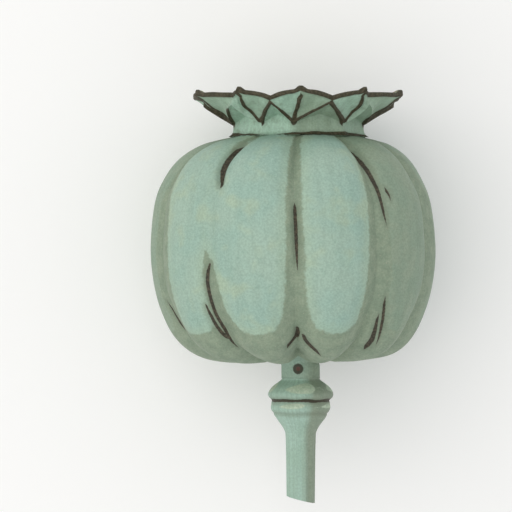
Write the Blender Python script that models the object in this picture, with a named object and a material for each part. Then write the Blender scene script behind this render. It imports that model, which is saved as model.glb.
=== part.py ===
"""Seed head of a poppy, cut with a short stalk and lying on its side.

The long axis runs along Y, with the crown at +Y and the cut stalk at -Y. The head rests on two of
its ten lobes. The origin is the middle of the bounding box at the surface it lies on.

Every piece is described by its section: a row of points, each a radius from the long axis and a
station along it. The section changes with the angle round the axis, so one rule gives the lobes,
the rays and the flutes. Stations count from the middle of the pod, positive towards the crown.
"""

import math

import bmesh
import bpy

MM = 0.001

# The pod: a squat round body with ten lobes. Its outline is a smooth curve on a lobe's crest, here
# and in the other outlines given as points of radius and station.
LOBES = 10
POD_RADIUS = 23.0 * MM
POD_OUTLINE = (
    (7.0 * MM, -18.0 * MM),
    (11.0 * MM, -18.0 * MM),
    (15.2 * MM, -17.2 * MM),
    (18.2 * MM, -15.2 * MM),
    (20.5 * MM, -11.8 * MM),
    (22.3 * MM, -6.6 * MM),
    (POD_RADIUS, 0.0),
    (22.3 * MM, 7.6 * MM),
    (20.5 * MM, 12.0 * MM),
    (18.2 * MM, 15.0 * MM),
    (15.2 * MM, 17.0 * MM),
    (12.2 * MM, 17.9 * MM),
)
POD_HALF_HEIGHT = 18.5 * MM
POD_BELLY_SHIFT = -1.0 * MM
BELLY_SQUARENESS = 6
POD_BASE_SLANT = 0.5 * MM
POD_ROWS = 30
POD_SEGMENTS = 8 * LOBES

# The grooves between lobes: their depth at the waist, the shoulder, the base and the neck, the
# distance over which it changes, and how narrow they are. They differ a little round the pod.
GROOVE_WAIST = 1.25 * MM
GROOVE_SHOULDER = 1.65 * MM
GROOVE_BASE = 2.3 * MM
GROOVE_NECK = 0.35 * MM
GROOVE_BELT = 6 * MM
GROOVE_CHANGE = 8 * MM
GROOVE_RUN_OUT = 6 * MM
GROOVE_SHARPNESS = 1.5
GROOVE_SHARPNESS_BASE = 1.0
GROOVE_UNEVENNESS = 0.12

# The short stipe below the pod, in a small dimple.
STIPE_RADIUS = 3.1 * MM
STIPE_END = -20.6 * MM
DIMPLE_RADIUS = 4.2 * MM
DIMPLE_DEPTH = 0.6 * MM

# The flat top of the pod, where the neck stands.
NECK_RADIUS = 10.6 * MM
POD_TOP = 18.2 * MM

# The gap between neighbouring solids.
GAP = 0.3 * MM

# The crown: a neck with ten panels, then a cupped disc of ten keeled rays.
PANEL_RECESS = 0.65 * MM
PANEL_TOP = 21.35 * MM
PANEL_FOOT = 19.75 * MM
KEEL_FOOT = (10.7 * MM, 20.1 * MM)
RAY_TIP = (17.2 * MM, 24.8 * MM)
KEEL_OUTLINE = (KEEL_FOOT, (12.3 * MM, 21.6 * MM), (14.7 * MM, 22.8 * MM), RAY_TIP)
KEEL_ROWS = 5
SINUS_EDGE = (15.2 * MM, 22.9 * MM)
SINUS_RIM = (15.8 * MM, 23.4 * MM)
RIM_THICKNESS = 0.65 * MM
RIM_BEVEL = 0.1 * MM
CROWN_TURN = math.radians(2.4)
RAY_PAIRING = math.radians(1.7)
CROWN_SEGMENTS = 8 * LOBES

# How the crown's edges run from a keel to the next sinus: the power that bends each of them.
PANEL_BEND = 0.7
EDGE_BEND = (1.5, 1.35)
RIM_BEND = (1.3, 0.8)

# The cup inside the crown: its floor, the boss in its middle and a ridge along each ray. The steps
# are shares of the rim's radius.
CUP_STEPS = (0.85, 0.68, 0.5, 0.32, 0.16)
CUP_FLOOR = 22.9 * MM
CUP_FLOOR_SHARE = 0.45
CUP_BEND = 1.6
BOSS_HEIGHT = 1.3 * MM
RIDGE_HEIGHT = 0.7 * MM

# The stalk: a knuckle with two rings, then a fluted stem with a slanted cut.
STEM_END = -40.7 * MM
STEM_RADIUS = 2.3 * MM
STALK_OUTLINE = (
    (3.2 * MM, STIPE_END - GAP),
    (4.6 * MM, -22.0 * MM),
    (5.3 * MM, -23.2 * MM),
    (4.75 * MM, -24.4 * MM),
    (4.8 * MM, -25.5 * MM),
    (4.0 * MM, -27.0 * MM),
    (2.7 * MM, -28.9 * MM),
    (2.42 * MM, -31.0 * MM),
    (STEM_RADIUS, STEM_END),
)
STEM_FLUTES = 10
FLUTE_DEPTH = 0.12 * MM
FLUTE_START = -27 * MM
FLUTE_RUN_IN = 3 * MM
CUT_SLANT = math.radians(14)
CUT_REACH = 6.0 * MM
STEM_SEGMENTS = 40
STEM_ROWS = 26

# The flat spots that the lower lobes are pressed to, measured up from their lowest line.
FLAT_DEPTH = 0.3 * MM

# Where the long axis lies beside the middle, at the crown and at the stem, and along Y.
CROWN_X = 0.75 * MM
STEM_X = 1.15 * MM
CROWN_TOP = RAY_TIP[1] + RIM_THICKNESS
POD_Y = -(CROWN_TOP + STEM_END) / 2

LOBE_ANGLE = 2 * math.pi / LOBES
CURVE_STEPS = 12
WELD = 0.001 * MM
SHARP_EDGE = math.radians(50)


def clear_scene():
    """Empty the scene."""
    for old in list(bpy.data.objects):
        bpy.data.objects.remove(old, do_unlink=True)


def ease(value):
    """Rise smoothly from 0 to 1 as the value goes from 0 to 1."""
    value = min(max(value, 0.0), 1.0)
    return value * value * (3 - 2 * value)


def between(start, end, share):
    """Give the point that lies a share of the way from one point to another."""
    return tuple(a + (b - a) * share for a, b in zip(start, end))


def towards(start, end, share, bend):
    """Go from one value to another, with the share bent by a power."""
    return start + (end - start) * share**bend


def curve_through(points):
    """Give a smooth curve through the points."""
    ends = [points[0]] + list(points) + [points[-1]]
    curve = [points[0]]
    for before, start, end, after in zip(ends, ends[1:], ends[2:], ends[3:]):
        for step in range(1, CURVE_STEPS + 1):
            t = step / CURVE_STEPS
            weights = (
                -0.5 * t + t**2 - 0.5 * t**3,
                1 - 2.5 * t**2 + 1.5 * t**3,
                0.5 * t + 2 * t**2 - 1.5 * t**3,
                -0.5 * t**2 + 0.5 * t**3,
            )
            four = (before, start, end, after)
            curve.append(tuple(sum(w * p[k] for w, p in zip(weights, four)) for k in (0, 1)))
    return curve


def spread_evenly(points, count):
    """Give this many points at even distances along a path."""
    lengths = [0.0]
    for start, end in zip(points, points[1:]):
        lengths.append(lengths[-1] + math.dist(start, end))
    spread = []
    place = 0
    for index in range(count):
        target = lengths[-1] * index / (count - 1)
        while place < len(points) - 2 and lengths[place + 1] < target:
            place += 1
        step = lengths[place + 1] - lengths[place]
        spread.append(between(points[place], points[place + 1], (target - lengths[place]) / step))
    return spread


def pod_outline():
    """Give the pod's section on a lobe's crest, from the end of the stipe to the flat top."""
    side = spread_evenly(curve_through(POD_OUTLINE), POD_ROWS)
    dimple = (DIMPLE_RADIUS, side[0][1] + DIMPLE_DEPTH)
    stipe_end = (STIPE_RADIUS, STIPE_END)
    stipe_top = (STIPE_RADIUS, side[0][1] + DIMPLE_DEPTH / 2)
    stipe = [stipe_end, between(stipe_end, stipe_top, 0.5), stipe_top, dimple]
    return stipe + side + [(NECK_RADIUS, POD_TOP)]


def groove_depth(radius, station):
    """Give how deep a groove is cut at this place on the pod."""
    share = ease((abs(station) - GROOVE_BELT) / GROOVE_CHANGE)
    if station < 0:
        depth = GROOVE_WAIST + (GROOVE_BASE - GROOVE_WAIST) * share
        return depth * ease((radius - STIPE_RADIUS) / GROOVE_RUN_OUT)
    depth = GROOVE_WAIST + (GROOVE_SHOULDER - GROOVE_WAIST) * share
    return GROOVE_NECK + (depth - GROOVE_NECK) * ease((radius - NECK_RADIUS) / GROOVE_RUN_OUT)


def groove_share(angle, station):
    """Give 1 at the bottom of a groove and 0 on a lobe's crest. Grooves widen towards the base."""
    widening = ease(-station / (POD_HALF_HEIGHT - GROOVE_BELT))
    sharpness = GROOVE_SHARPNESS + (GROOVE_SHARPNESS_BASE - GROOVE_SHARPNESS) * widening
    share = (1 - abs(math.sin(LOBES * angle / 2))) ** sharpness
    return share * (1 + GROOVE_UNEVENNESS * math.sin(3 * angle + 1.0))


def pod_section(angle):
    """Give the pod's section at an angle: the outline, pushed in along its normal by the groove."""
    outline = pod_outline()
    section = [(0.0, STIPE_END)]
    for index, (radius, station) in enumerate(outline):
        before = outline[max(index - 1, 0)]
        after = outline[min(index + 1, len(outline) - 1)]
        run = math.dist(before, after)
        depth = groove_depth(radius, station) * groove_share(angle, station)
        if station in (STIPE_END, POD_TOP):
            section.append((radius - depth, station))
            continue
        out = (after[1] - before[1]) / run
        up = (before[0] - after[0]) / run
        slant = POD_BASE_SLANT * math.sin(angle) * radius / POD_RADIUS
        slant *= ease(-station / POD_HALF_HEIGHT) * ease((radius - STIPE_RADIUS) / GROOVE_RUN_OUT)
        section.append((radius - depth * out, station - depth * up + slant))
    section.append((0.0, POD_TOP))
    return section


def pod_shift(station):
    """Give how far the pod's middle lies to the side. Its belly leans away from the long axis."""
    share = (station - STIPE_END) / (POD_TOP - STIPE_END)
    belly = max(1 - abs(station / POD_HALF_HEIGHT) ** BELLY_SQUARENESS, 0.0)
    return STEM_X + (CROWN_X - STEM_X) * share + POD_BELLY_SHIFT * belly


def crown_underside(share):
    """Give the crown's section from the neck's foot to the rim, between a keel and a sinus."""
    base = POD_TOP + GAP
    panel_radius = NECK_RADIUS - PANEL_RECESS * ease(share * 2)
    foot = (panel_radius, base)
    wall_top = (panel_radius, towards(PANEL_FOOT, PANEL_TOP, share, PANEL_BEND))
    edge = tuple(towards(KEEL_FOOT[k], SINUS_EDGE[k], share, EDGE_BEND[k]) for k in (0, 1))
    rim = tuple(towards(RAY_TIP[k], SINUS_RIM[k], share, RIM_BEND[k]) for k in (0, 1))
    section = [(0.0, base), (NECK_RADIUS / 2, base), foot, between(foot, wall_top, 0.5), wall_top]
    section.append(between(wall_top, edge, 0.5))

    # The facet runs from the lower edge to the rim, and bows with the keel near the keel.
    bow = (1 - share) ** 2
    for row, keel in enumerate(spread_evenly(curve_through(KEEL_OUTLINE), KEEL_ROWS)):
        step = row / (KEEL_ROWS - 1)
        flat = between(edge, rim, step)
        chord = between(KEEL_FOOT, RAY_TIP, step)
        section.append(tuple(flat[k] + bow * (keel[k] - chord[k]) for k in (0, 1)))
    return section


def crown_section(angle):
    """Give the crown's section at an angle, from the neck's foot round the rim to the boss."""
    turn = (angle / LOBE_ANGLE) % 1.0
    share = 2 * min(turn, 1 - turn)
    section = crown_underside(share)
    rim_radius, rim_station = section[-1]
    rim_top = rim_station + RIM_THICKNESS
    section.append((rim_radius - RIM_BEVEL, rim_top))
    for step in CUP_STEPS:
        rise = max((step - CUP_FLOOR_SHARE) / (1 - CUP_FLOOR_SHARE), 0.0) ** CUP_BEND
        boss = ease(1 - step / CUP_FLOOR_SHARE)
        ridge = RIDGE_HEIGHT * (1 - share) ** 2 * math.sin(math.pi * step) * (1 - boss)
        height = CUP_FLOOR + (rim_top - CUP_FLOOR) * rise + BOSS_HEIGHT * boss + ridge
        section.append((rim_radius * step, height))
    section.append((0.0, CUP_FLOOR + BOSS_HEIGHT))
    return section


def ray_angle(angle):
    """Turn the crown a little against the pod, with its rays in loose pairs."""
    return angle + CROWN_TURN - RAY_PAIRING * math.cos(LOBES * angle / 2)


def stem_section(angle):
    """Give the stalk's section at an angle, with the stem's flutes and the slanted cut."""
    section = [(0.0, STIPE_END - GAP)]
    flute = FLUTE_DEPTH * (1 + math.cos(STEM_FLUTES * angle)) / 2
    for radius, station in spread_evenly(curve_through(STALK_OUTLINE), STEM_ROWS):
        radius -= flute * ease((FLUTE_START - station) / FLUTE_RUN_IN)
        reach = ease((STEM_END + CUT_REACH - station) / CUT_REACH)
        rise = (STEM_RADIUS - radius * math.sin(angle)) * math.tan(CUT_SLANT)
        section.append((radius, station + rise * reach))
    section.append((0.0, STEM_END + STEM_RADIUS * math.tan(CUT_SLANT)))
    return section


def turned_piece(name, section, segments, material, shift, place=lambda angle: angle):
    """Spin a section round the long axis and move each point to its own angle's section."""
    mesh = bpy.data.meshes.new(name)
    shape = bmesh.new()
    row = shape.verts.layers.int.new("row")
    step_angle = 2 * math.pi / segments
    sections = [section(step * step_angle) for step in range(segments)]
    first = []
    for index, (radius, station) in enumerate(sections[0]):
        vert = shape.verts.new((0.0, station, radius))
        vert[row] = index
        first.append(vert)
    edges = [shape.edges.new(pair) for pair in zip(first, first[1:])]
    bmesh.ops.spin(
        shape,
        geom=first + edges,
        cent=(0, 0, 0),
        axis=(0, 1, 0),
        angle=2 * math.pi,
        steps=segments,
        use_merge=True,
    )
    bmesh.ops.remove_doubles(shape, verts=shape.verts, dist=WELD)

    for vert in shape.verts:
        step = round(math.atan2(vert.co.x, vert.co.z) / step_angle) % segments
        radius, station = sections[step][vert[row]]
        angle = place(step * step_angle)
        vert.co.x = radius * math.sin(angle) + shift(station)
        vert.co.y = POD_Y + station
        vert.co.z = radius * math.cos(angle)
    bmesh.ops.recalc_face_normals(shape, faces=shape.faces)
    shape.to_mesh(mesh)
    shape.free()

    mesh.materials.append(material)
    mesh.shade_smooth()
    mesh.set_sharp_from_angle(angle=SHARP_EDGE)
    piece = bpy.data.objects.new(name, mesh)
    bpy.context.scene.collection.objects.link(piece)
    return piece


def lay_on_surface(pieces, lowest):
    """Lift the pieces until the lowest line is just under the surface, and press that flat."""
    for piece in pieces:
        for vert in piece.data.vertices:
            vert.co.z = max(vert.co.z - lowest - FLAT_DEPTH, 0.0)


def make_material(name, colour, roughness):
    """Make a plain material."""
    material = bpy.data.materials.new(name)
    material.use_nodes = True
    shader = material.node_tree.nodes["Principled BSDF"]
    shader.inputs["Base Color"].default_value = colour
    shader.inputs["Roughness"].default_value = roughness
    shader.inputs["Metallic"].default_value = 0.0
    return material


def build():
    """Make the pod, its crown and its stalk."""
    clear_scene()
    pod_green = make_material("pod skin", (0.31, 0.46, 0.38, 1.0), 0.6)
    crown_green = make_material("crown skin", (0.24, 0.34, 0.27, 1.0), 0.65)
    stem_green = make_material("stem skin", (0.33, 0.46, 0.37, 1.0), 0.55)

    pod = turned_piece("capsule", pod_section, POD_SEGMENTS, pod_green, pod_shift)
    crown = turned_piece(
        "crown", crown_section, CROWN_SEGMENTS, crown_green, lambda station: CROWN_X, ray_angle
    )
    stem = turned_piece("stem", stem_section, STEM_SEGMENTS, stem_green, lambda station: STEM_X)

    lowest = min(vert.co.z for vert in pod.data.vertices)
    lay_on_surface((pod, crown, stem), lowest)


build()
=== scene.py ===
"""Looks of a poppy seed head: its pod, crown and stalk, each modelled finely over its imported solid.

Every piece is spun from a section, as its solid is: a row of points, each a radius from the long
axis and a station along it, that changes with the angle round the axis. Here the rows lie closer,
and the columns crowd into the grooves and onto the keels, so that creases, ribs and margins are
real relief. What a finish needs to know about a place, such as how far it lies inside a groove's
band, is kept with each point, in millimetres.

Stations count from the middle of the pod, positive towards the crown. Angles count round the axis
from the top, positive towards +X. Latitudes are those of a globe whose north is the crown.
"""

import math
import random
from collections import namedtuple

import bmesh
import bpy
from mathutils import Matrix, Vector, noise


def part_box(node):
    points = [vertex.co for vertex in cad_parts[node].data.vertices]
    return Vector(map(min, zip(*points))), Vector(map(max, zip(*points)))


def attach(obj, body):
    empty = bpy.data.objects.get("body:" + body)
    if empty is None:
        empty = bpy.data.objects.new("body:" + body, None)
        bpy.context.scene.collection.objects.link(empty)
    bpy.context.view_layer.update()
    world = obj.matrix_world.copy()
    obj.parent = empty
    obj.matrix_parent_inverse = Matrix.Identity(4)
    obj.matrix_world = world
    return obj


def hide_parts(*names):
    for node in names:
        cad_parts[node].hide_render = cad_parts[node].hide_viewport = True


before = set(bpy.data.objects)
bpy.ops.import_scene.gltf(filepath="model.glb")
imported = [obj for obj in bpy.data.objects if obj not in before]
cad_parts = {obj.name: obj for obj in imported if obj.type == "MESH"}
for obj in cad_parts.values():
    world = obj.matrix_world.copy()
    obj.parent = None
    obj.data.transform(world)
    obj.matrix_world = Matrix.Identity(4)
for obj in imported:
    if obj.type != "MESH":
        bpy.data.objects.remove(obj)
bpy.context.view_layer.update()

MM = 0.001
SEED = 7

# The pod's main form, as in the solids: radius and station of its outline on a lobe's crest.
LOBES = 10
LOBE_ANGLE = 2 * math.pi / LOBES
POD_RADIUS = 23.0 * MM
POD_OUTLINE = (
    (7.0 * MM, -18.0 * MM),
    (11.0 * MM, -18.0 * MM),
    (15.2 * MM, -17.2 * MM),
    (18.2 * MM, -15.2 * MM),
    (20.5 * MM, -11.8 * MM),
    (22.3 * MM, -6.6 * MM),
    (POD_RADIUS, 0.0),
    (22.3 * MM, 7.6 * MM),
    (20.5 * MM, 12.0 * MM),
    (18.2 * MM, 15.0 * MM),
    (15.2 * MM, 17.0 * MM),
    (12.2 * MM, 17.9 * MM),
)
POD_HALF_HEIGHT = 18.5 * MM
POD_BELLY_SHIFT = -1.0 * MM
BELLY_SQUARENESS = 6
POD_BASE_SLANT = 0.5 * MM
GROOVE_WAIST = 1.25 * MM
GROOVE_SHOULDER = 1.65 * MM
GROOVE_BASE = 2.3 * MM
GROOVE_NECK = 0.35 * MM
GROOVE_BELT = 6 * MM
GROOVE_CHANGE = 8 * MM
GROOVE_RUN_OUT = 6 * MM
GROOVE_SHARPNESS = 1.5
GROOVE_SHARPNESS_BASE = 1.0
GROOVE_UNEVENNESS = 0.12
UNEVEN_WAVES = 3
UNEVEN_START = 1.0
STIPE_RADIUS = 3.1 * MM
STIPE_END = -20.6 * MM
DIMPLE_RADIUS = 4.2 * MM
DIMPLE_DEPTH = 0.6 * MM
NECK_RADIUS = 10.6 * MM
POD_TOP = 18.2 * MM

# How finely the pod is modelled, and how strongly its columns crowd into the grooves.
POD_COLUMNS = 360
POD_SIDE_ROWS = 216
STIPE_ROWS = 22
POD_TOP_ROWS = 4
POD_CROWDING = 0.6

# The pod's own relief: broad dents, long fine veins, and pleats where it meets the neck. Veins are
# given by their width and length.
DENT_SIZE = 9 * MM
DENT_DEPTH = 0.22 * MM
POD_VEINS = (1.0 * MM, 14 * MM)
VEIN_DEPTH = 0.07 * MM
VEIN_ON_CREST = 0.35
VEIN_RUN_OUT = 5 * MM
PLEATS = 40
PLEAT_DEPTH = 0.12 * MM
PLEAT_REACH = 4 * MM

# The grey-green band of painted shade in each groove, and the dark creases in it. Each is a course down
# the skin of angles from the groove in degrees, latitudes in degrees and half-widths in millimetres.
# Where the half-width is below 0, the band or crease is broken off. The first set is the front groove's,
# and the next ones are those of the grooves to its left, to its right and at the far left.
FRONT_BAND = (
    (-0.2, 62, 0.5), (-0.2, 34, 1.1), (-0.2, 13, 1.38), (0.2, 0, 1.52), (0.0, -18, 1.72),
    (0.2, -27, 2.3), (0.3, -36, 3.0),
)
FRONT_CREASES = (
    ((0.0, 18.8, 0.0), (0.1, 16.5, 0.26), (0.4, 9, 0.30), (0.6, 1, 0.27), (0.8, -5, 0.16),
     (1.0, -8.5, 0.0)),
    ((0.8, -34.3, 0.24), (0.9, -37.5, 0.38), (0.1, -40.2, 0.42), (-1.8, -42.3, 0.46),
     (-4.6, -44.0, 0.46)),
    ((3.6, -37.6, 0.28), (4.6, -40.5, 0.40), (6.6, -42.8, 0.44), (9.7, -45.1, 0.40),
     (13.0, -47.5, 0.0)),
)
LEFT_BAND = (
    (-2.0, 62, 0.4), (-3.0, 50, 0.5), (-3.4, 43, 0.0), (-3.6, 36, -1.2), (-3.6, 6, -1.2),
    (-2.6, -1, 0.2), (-1.7, -6, 0.9), (-1.1, -11, 1.25), (-0.6, -16, 1.4), (0.1, -26, 1.7),
    (1.4, -31.5, 2.4), (1.8, -36, 3.0),
)
LEFT_CREASES = (
    ((4.4, 54.5, 0.1), (2.2, 52, 0.38), (-0.2, 49.5, 0.44), (-1.4, 47, 0.46), (-1.5, 43, 0.46),
     (-1.3, 37, 0.46), (-1.0, 34, 0.46), (0.4, 30, 0.46), (2.0, 26.3, 0.42), (2.4, 25.4, 0.25)),
    ((-1.2, -5.6, 0.16), (-2.4, -9, 0.28), (-3.0, -13, 0.30), (-2.8, -19, 0.28),
     (-2.8, -26.5, 0.27), (-1.9, -34, 0.28), (-1.9, -38.5, 0.24), (-1.3, -47, 0.0)),
    ((-5.4, -21.6, 0.12), (-5.2, -26, 0.24), (-4.6, -31.5, 0.26), (-3.4, -36.5, 0.28),
     (-2.4, -39.5, 0.0)),
)
RIGHT_BAND = (
    (0.3, 62, 0.6), (0.4, 40, 1.3), (0.5, 21, 1.76), (0.5, 5, 2.15), (0.5, -11, 2.5),
    (0.5, -20, 2.45), (0.5, -36, 3.1),
)
RIGHT_CREASES = (
    ((0.4, 47, 0.12), (1.0, 41, 0.30), (2.2, 33, 0.32), (3.0, 26, 0.30), (3.4, 19.6, 0.24),
     (3.8, 15, 0.18), (4.6, 9, 0.0)),
    ((6.0, 25, 0.0), (6.6, 23.4, 0.22), (7.4, 21.6, 0.20), (7.4, 19, 0.0), (7.0, 17, -2.0),
     (5.2, -16, -2.0), (5.1, -18.6, 0.0), (6.0, -22.5, 0.22), (7.6, -28.5, 0.24), (8.6, -34, 0.20),
     (10.0, -42, 0.0)),
    ((4.9, -26.6, 0.0), (5.3, -29.5, 0.20), (6.2, -34, 0.28), (7.2, -40, 0.38), (7.0, -44.5, 0.36),
     (6.6, -47, 0.0)),
)
SIDE_BAND = (
    (1.0, 62, 0.4), (2.6, 35, 1.8), (3.0, 17, 2.9), (3.2, 0, 3.5), (3.2, -15, 3.4), (2.4, -28, 3.2),
    (0.8, -36, 3.0),
)
SIDE_CREASES = (
    ((0.5, 44, 0.0), (0.0, 40, 0.18), (0.6, 33, 0.20), (0.2, 26, 0.0)),
    ((2.0, -44, 0.0), (2.6, -47, 0.22), (1.6, -52, 0.30), (0.4, -57, 0.0)),
    ((-3.5, -20, 0.0), (-3.0, -24, 0.16), (-3.2, -31, 0.18), (-2.6, -35, 0.0)),
)
GROOVE_SETS = (
    (FRONT_BAND, FRONT_CREASES),
    (LEFT_BAND, LEFT_CREASES),
    (RIGHT_BAND, RIGHT_CREASES),
    (SIDE_BAND, SIDE_CREASES),
)

# Which set each groove has, from the front one round clockwise. The seen grooves have it as it is.
# In the others it is mirrored or not, slid by up to this many degrees of latitude, and thinned.
GROOVE_ORDER = (0, 2, 3, 0, 1, 2, 0, 1, 3, 1)
SEEN_GROOVES = (0, 1, 8, 9)
CREASE_SLIP = 3.0
CREASE_GIRTHS = (0.75, 1.05)

# Creases fade past this angle from their groove. Below this latitude the bands join in one olive
# zone of painted shade along the base, with rounded corners. A distance inside an edge, in millimetres,
# is kept within the limit.
CREASE_ZONE = math.radians(15.5)
CREASE_FADE = 4.0
BASE_ZONE_LATITUDE = -33.4
BAND_BLEND = 2.6
BAND_LIMIT = 6.0
BAND_ON_STIPE = -3.0

# A crease's cut and the lip at each side of it. The cut is this deep where the crease is full wide.
# How far the cut and the lip reach, and how far out the lip lies, grow with its half-width, and the
# cut and the lip have a soft edge of these widths. All widths are in millimetres.
CREASE_DEPTH = 0.38 * MM
CREASE_LIP = 0.05 * MM
FULL_CREASE_HALF = 0.4
CUT_REACH_GROWTH = 1.8
LIP_PLACE_GROWTH = 2.6
LIP_REACH_GROWTH = 1.6
CUT_SOFTNESS = 0.35
LIP_SOFTNESS = 0.2

# How bare of bloom the stipe is, and each lobe from the one right of the front groove round clockwise.
# On the lobes at the right and far left and on the stipe's right side, the grey-olive is painted shade.
STIPE_BARENESS_AND_SHADE = 0.35
LOBE_BARENESS_AND_SHADE = (0.0, 0.95, 0.9, 0.6, 0.2, 0.1, 0.3, 0.85, 0.05, 0.0)

# The round scar on the front of the stipe: a pit with a raised rim.
SCAR_ANGLE = math.radians(-8)
SCAR_STATION = -19.0 * MM
SCAR_RIM = 0.85 * MM
SCAR_HEART = 0.36 * MM
SCAR_DEPTH = 0.25 * MM
SCAR_LIP = 0.5

# The crown's main form, as in the solids: a neck with ten panels and a cupped disc of ten rays. The
# bends are powers of the share of the way from a keel to a sinus, or from the floor to the rim.
PANEL_RECESS = 0.65 * MM
PANEL_SIDE = 0.5
PANEL_TOP = 21.35 * MM
PANEL_FOOT = 19.75 * MM
KEEL_FOOT = (10.7 * MM, 20.1 * MM)
RAY_TIP = (17.2 * MM, 24.8 * MM)
KEEL_OUTLINE = (KEEL_FOOT, (12.3 * MM, 21.6 * MM), (14.7 * MM, 22.8 * MM), RAY_TIP)
SINUS_EDGE = (15.2 * MM, 22.9 * MM)
SINUS_RIM = (15.8 * MM, 23.4 * MM)
RIM_THICKNESS = 0.65 * MM
HALF_RIM = RIM_THICKNESS / 2
CROWN_TOP = RAY_TIP[1] + RIM_THICKNESS
CROWN_TURN = math.radians(2.4)
RAY_PAIRING = math.radians(1.7)
PANEL_BEND = 0.7
EDGE_BEND = (1.5, 1.35)
RIM_BEND = 1.3
CUP_FLOOR = 22.9 * MM
CUP_FLOOR_SHARE = 0.45
CUP_BEND = 1.6
BOSS_HEIGHT = 1.3 * MM
RIDGE_HEIGHT = 0.7 * MM

# How finely the crown is modelled, part by part from the neck's foot to the middle of the cup.
CROWN_COLUMNS = 400
NECK_ROWS = 16
SOFFIT_ROWS = 14
FACET_ROWS = 40
MARGIN_ROWS = 8
CUP_ROWS = 60
NECK_START = 2
SOFFIT_START = NECK_START + NECK_ROWS
FACET_START = SOFFIT_START + SOFFIT_ROWS
MARGIN_START = FACET_START + FACET_ROWS
CUP_START = MARGIN_START + MARGIN_ROWS
CROWN_ROWS = CUP_START + CUP_ROWS + 1
CROWN_CROWDING = 0.55
NECK_SINK = 0.12 * MM
NECK_FLARE = 0.8 * MM
NECK_FLARE_HEIGHT = 1.1 * MM
COLLAR_FLARE = 0.25
COLLAR_RISE = 0.35

# The crown's relief: hollow facets between dark ribs, knobbed tips, and velvet rays in the cup. A
# rib is raised a little wider than it is dark, and both widths waver. The edge's slant turns a length
# up a section into one across the edge. A facet's hollow is full where it is as long as its room.
RIB_HALF = 0.34 * MM
RIB_HEIGHT = 0.14 * MM
RIB_SPREAD = 1.4
RIB_WAVER = 0.25
WAVER_SIZE = 1.6 * MM
INK_RUN_OUT = 2.0
EDGE_SLANT = 0.55
KEEL_TIP_WIDTH = 0.8
KEEL_TAPER_END = 1.06
KEEL_TAPER = 5
RIM_INK = 0.3
FACET_HOLLOW = 0.45 * MM
FACET_ROOM = 4.0
HOLLOW_CROWDING = 1.6
HOLLOW_BEND = 0.7
RIM_FALL = 2.1
KNOB_HEIGHT = 0.5 * MM
KNOB_SHARE = 0.24
KNOB_BEND = 1.5
KNOB_REACH = 1.1 * MM
KNOB_GROWTH = 0.16 * MM
KNOB_MIDDLE = (RAY_TIP[0] - 0.5 * MM, RAY_TIP[1])
MARGIN_LIFT = 0.056 * MM
MARGIN_CRINKLE = 0.12 * MM
CRINKLE_SIZE = 1.5 * MM
CRINKLE_ROWS = 4
VELVET_HALF = 0.95 * MM
VELVET_HEIGHT = 0.22 * MM
VELVET_AT_RIM = 0.25
VELVET_END = 4 * MM
VELVET_LEAST = 0.4
VELVET_MIDDLE = 5 * MM
VELVET_SLOPE = 0.4
NAP_SIZE = 0.45 * MM
CUP_RIM_INK = 0.35
CUP_DENT_DEPTH = 0.12 * MM
CUP_DENT_SIZE = 2.2 * MM
PANEL_VEINS = (0.9 * MM, 6 * MM)
PANEL_VEIN_DEPTH = 0.1 * MM
FACET_VEINS = (0.8 * MM, 5 * MM)
FACET_VEIN_DEPTH = 0.06 * MM

# How steeply these grow from the keel towards the sinus, and the windows' wear and painted shade from
# one to the next.
PANEL_VEIN_RISE = 3
PANEL_EDGE_RISE = 6
CRINKLE_RISE = 4
WINDOW_CHANGE = 2.5

# Each ray of the crown, from the front one round clockwise. First how far its keel leans to the
# right at its foot, is bowed that way half way up and leans at its tip, in degrees. Then how worn its
# left and right facets are and the window to the right of its foot, and how far up the ray its keel
# is dark; on the rays near the front the wear also stands for painted shade, heavier on the facets and
# windows at the right. Then how far the dark edges at its left and right run from the foot to the sinus:
# at 1 they reach it, above 1 they are that much wider, and below 0 they are left out. Last, how far the
# sinus to its right is drawn to the right, in degrees.
Ray = namedtuple(
    "Ray",
    "foot_lean bow tip_lean left_wear right_wear window_wear keel_end left_edge right_edge sinus_draw",
)
RAYS = (
    Ray(-5.5, 0.0, 0.0, 0.0, 0.85, 0.9, 0.8, 1.0, 1.0, 0.0),
    Ray(1.0, 4.0, -2.5, 0.1, 0.5, 0.6, 1.2, 1.0, -1.0, -12.0),
    Ray(8.0, 0.0, 0.0, 0.7, 1.0, 0.6, 1.2, 0.4, 2.8, -8.0),
    Ray(2.0, -2.0, 1.0, 0.5, 0.3, 0.2, 1.2, 1.0, 1.0, -4.0),
    Ray(-3.0, 1.5, -1.0, 0.3, 0.6, 0.4, 0.7, 1.0, 0.7, 2.0),
    Ray(0.0, 2.0, 1.5, 0.2, 0.5, 0.1, 1.2, 1.2, 1.0, -5.0),
    Ray(3.0, -1.5, -1.5, 0.6, 0.3, 0.5, 0.9, 1.0, 1.0, 4.0),
    Ray(-2.0, 2.0, 1.0, 0.3, 0.4, 0.2, 0.5, 0.8, 1.0, 8.0),
    Ray(-8.0, 0.0, 0.0, 0.5, 0.6, 0.0, 1.2, 2.8, 0.7, 11.0),
    Ray(-2.0, -4.5, -2.5, 0.1, 0.45, 0.0, 1.2, -1.0, 1.0, 0.0),
)

# A place on the crown, for its relief: its row and its section's points, where it lies (turn counts
# rays), its share of the way from keel to sinus and how far it is beside the keel, how a rib's width
# wavers there, half the width of a rib and of the facet's dark edge, and its ray. What lies beside
# the keel and the half-widths are in millimetres.
Spot = namedtuple(
    "Spot", "row points radius station angle here turn share from_keel waver half edge_half ray"
)

# The station where a keel's lean is that of its tip, and how much the rays' lines waver.
LEAN_TOP = 24.0 * MM
RAY_WOBBLE = math.radians(1.3)
WOBBLE_SIZE = 1.8 * MM

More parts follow.
